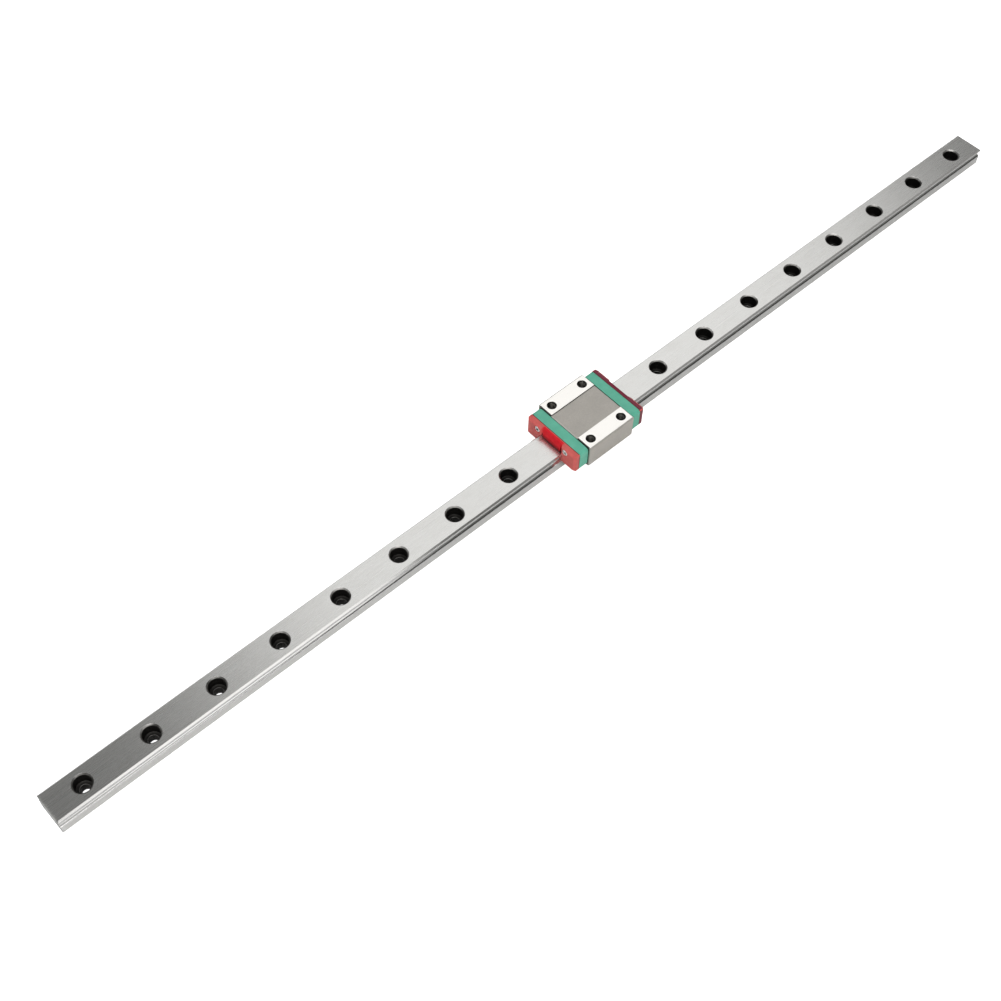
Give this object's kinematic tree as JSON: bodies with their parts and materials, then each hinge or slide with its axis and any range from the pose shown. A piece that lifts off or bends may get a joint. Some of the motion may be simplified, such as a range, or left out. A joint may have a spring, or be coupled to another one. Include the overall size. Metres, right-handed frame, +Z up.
{
  "type": "linear guide with carriage",
  "caption": "Miniature profile rail guide: a ground steel rail with counterbored bolt holes and a recirculating-ball carriage with end caps and wiper seals.",
  "frame": {"origin": "middle of the underside of the rail, where it rests on its seat, with the carriage at the middle of its travel", "axes": "+X along the rail, +Z up from the seat towards the carriage, +Y to the left when looking along +X"},
  "size_m": [0.45, 0.027, 0.013],
  "materials": {
    "rail_steel": "ground steel with fine lines along the rail, satin",
    "block_steel": "fine matt steel, the two pads ground bright",
    "cap_plastic": "moulded green engineering plastic, satin",
    "plate_steel": "stamped stainless sheet",
    "seal_rubber": "moulded red elastomer, satin",
    "screw_steel": "bright plated steel",
    "guide_plastic": "moulded green engineering plastic",
    "ball_steel": "polished bearing steel",
    "wire_steel": "drawn stainless wire"
  },
  "bodies": {
    "rail": {"rail": "rail_steel"},
    "carriage": {"carriage_block": "block_steel", "end_cap_front": "cap_plastic", "end_cap_rear": "cap_plastic", "seal_plate_front": "plate_steel", "seal_plate_rear": "plate_steel", "end_seal_front": "seal_rubber", "end_seal_rear": "seal_rubber", "cap_screw_front_left": "screw_steel", "cap_screw_front_right": "screw_steel", "cap_screw_rear_left": "screw_steel", "cap_screw_rear_right": "screw_steel", "return_guide_front_left": "guide_plastic", "return_guide_front_right": "guide_plastic", "return_guide_rear_left": "guide_plastic", "return_guide_rear_right": "guide_plastic", "balls_left": "ball_steel", "balls_right": "ball_steel", "ball_retainer_left": "wire_steel", "ball_retainer_right": "wire_steel"}
  },
  "joints": [
    {"name": "carriage_slide", "type": "slide", "parent": "rail", "child": "carriage", "axis": [1, 0, 0], "range_m": [-0.2076, 0.2076]}
  ]
}
